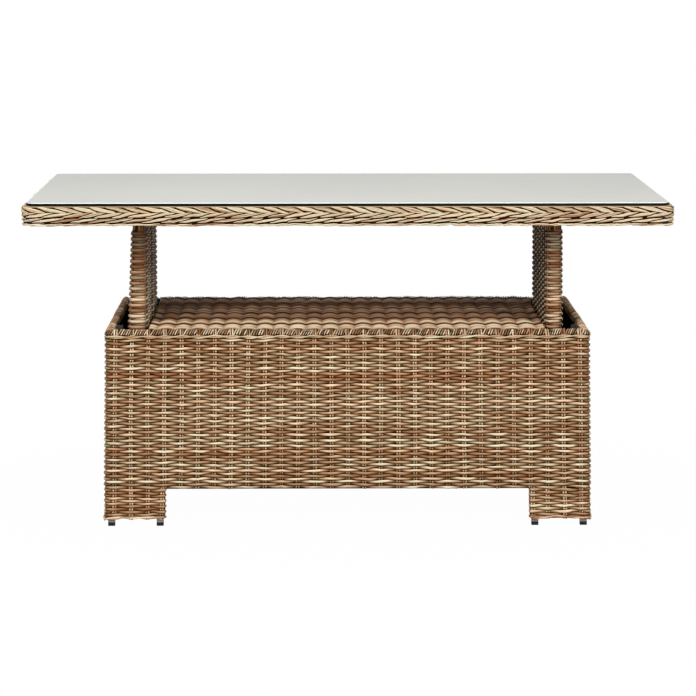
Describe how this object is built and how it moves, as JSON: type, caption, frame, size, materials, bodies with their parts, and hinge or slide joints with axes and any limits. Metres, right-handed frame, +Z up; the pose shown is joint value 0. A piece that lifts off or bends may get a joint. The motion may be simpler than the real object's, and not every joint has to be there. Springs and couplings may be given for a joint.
{
  "type": "height-adjustable woven table",
  "caption": "Rectangular woven lift table: glass top with a braided apron on sliding end panels that rise from a box base with notched legs, held by lockable gas springs.",
  "frame": {"origin": "on the floor under the middle of the table, raised", "axes": "+X along the table's length, -Y towards the front, +Z up"},
  "size_m": [1.4, 0.8, 0.722],
  "materials": {
    "wicker": "matt woven half-round strands",
    "glass": "satin, back-coated",
    "frame_tube": "satin lacquer",
    "black_plastic": "moulded",
    "clear_bumper": "soft clear",
    "black_metal": "satin black",
    "bright_steel": "plated"
  },
  "bodies": {
    "base": {"corner_posts": "frame_tube", "leg_posts": "frame_tube", "foot_glides": "black_plastic", "base_top_long_rails": "frame_tube", "base_top_end_rails": "frame_tube", "base_bottom_long_rails": "frame_tube", "base_bottom_end_rails": "frame_tube", "leg_rails": "frame_tube", "front_wall_weave": "wicker", "rear_wall_weave": "wicker", "left_wall_weave": "wicker", "right_wall_weave": "wicker", "deck_weave": "wicker", "deck_rails": "frame_tube", "spring_bars": "black_metal", "spring_nuts": "bright_steel", "left_gas_cylinder": "black_metal", "right_gas_cylinder": "black_metal", "guide_channels": "black_metal", "channel_screws": "bright_steel", "bump_stops": "black_plastic"},
    "lifting_top": {"glass_top": "glass", "glass_bumpers": "clear_bumper", "top_woven_sheet": "wicker", "apron_front": "wicker", "apron_rear": "wicker", "apron_left": "wicker", "apron_right": "wicker", "top_long_rails": "frame_tube", "top_end_rails": "frame_tube", "top_corner_blocks": "black_plastic", "top_centre_rail": "frame_tube", "top_cross_rails": "frame_tube", "mount_blocks": "frame_tube", "panel_bolts": "bright_steel", "left_panel_uprights": "frame_tube", "right_panel_uprights": "frame_tube", "left_panel_top_rail": "frame_tube", "right_panel_top_rail": "frame_tube", "left_panel_stiles": "frame_tube", "right_panel_stiles": "frame_tube", "left_panel_bottom_rails": "frame_tube", "right_panel_bottom_rails": "frame_tube", "left_panel_weave": "wicker", "right_panel_weave": "wicker", "left_gas_rod": "bright_steel", "right_gas_rod": "bright_steel", "left_release_head": "black_metal", "right_release_head": "black_metal", "pivot_pins": "bright_steel", "guide_shoes": "black_plastic", "shoe_screws": "bright_steel"},
    "left_lever": {"left_release_lever": "black_metal", "left_lever_grip": "black_plastic"},
    "right_lever": {"right_release_lever": "black_metal", "right_lever_grip": "black_plastic"},
    "left_pin": {"left_release_pin": "bright_steel"},
    "right_pin": {"right_release_pin": "bright_steel"}
  },
  "joints": [
    {"name": "top_lift", "type": "slide", "parent": "base", "child": "lifting_top", "axis": [0, 0, 1], "range_m": [-0.234, 0]},
    {"name": "left_lever_turn", "type": "hinge", "parent": "lifting_top", "child": "left_lever", "pos_m": [-0.489, 0, 0.69], "axis": [0, 1, 0], "range_deg": [0, 5.7]},
    {"name": "right_lever_turn", "type": "hinge", "parent": "lifting_top", "child": "right_lever", "pos_m": [0.489, 0, 0.69], "axis": [0, -1, 0], "range_deg": [0, 5.7]},
    {"name": "left_pin_press", "type": "slide", "parent": "lifting_top", "child": "left_pin", "axis": [0, 0, -1], "range_m": [0, 0.003]},
    {"name": "right_pin_press", "type": "slide", "parent": "lifting_top", "child": "right_pin", "axis": [0, 0, -1], "range_m": [0, 0.003]}
  ],
  "couplings": [
    {"joint": "left_pin_press", "follows": "left_lever_turn", "m_per_rad": 0.03},
    {"joint": "right_pin_press", "follows": "right_lever_turn", "m_per_rad": 0.03}
  ]
}
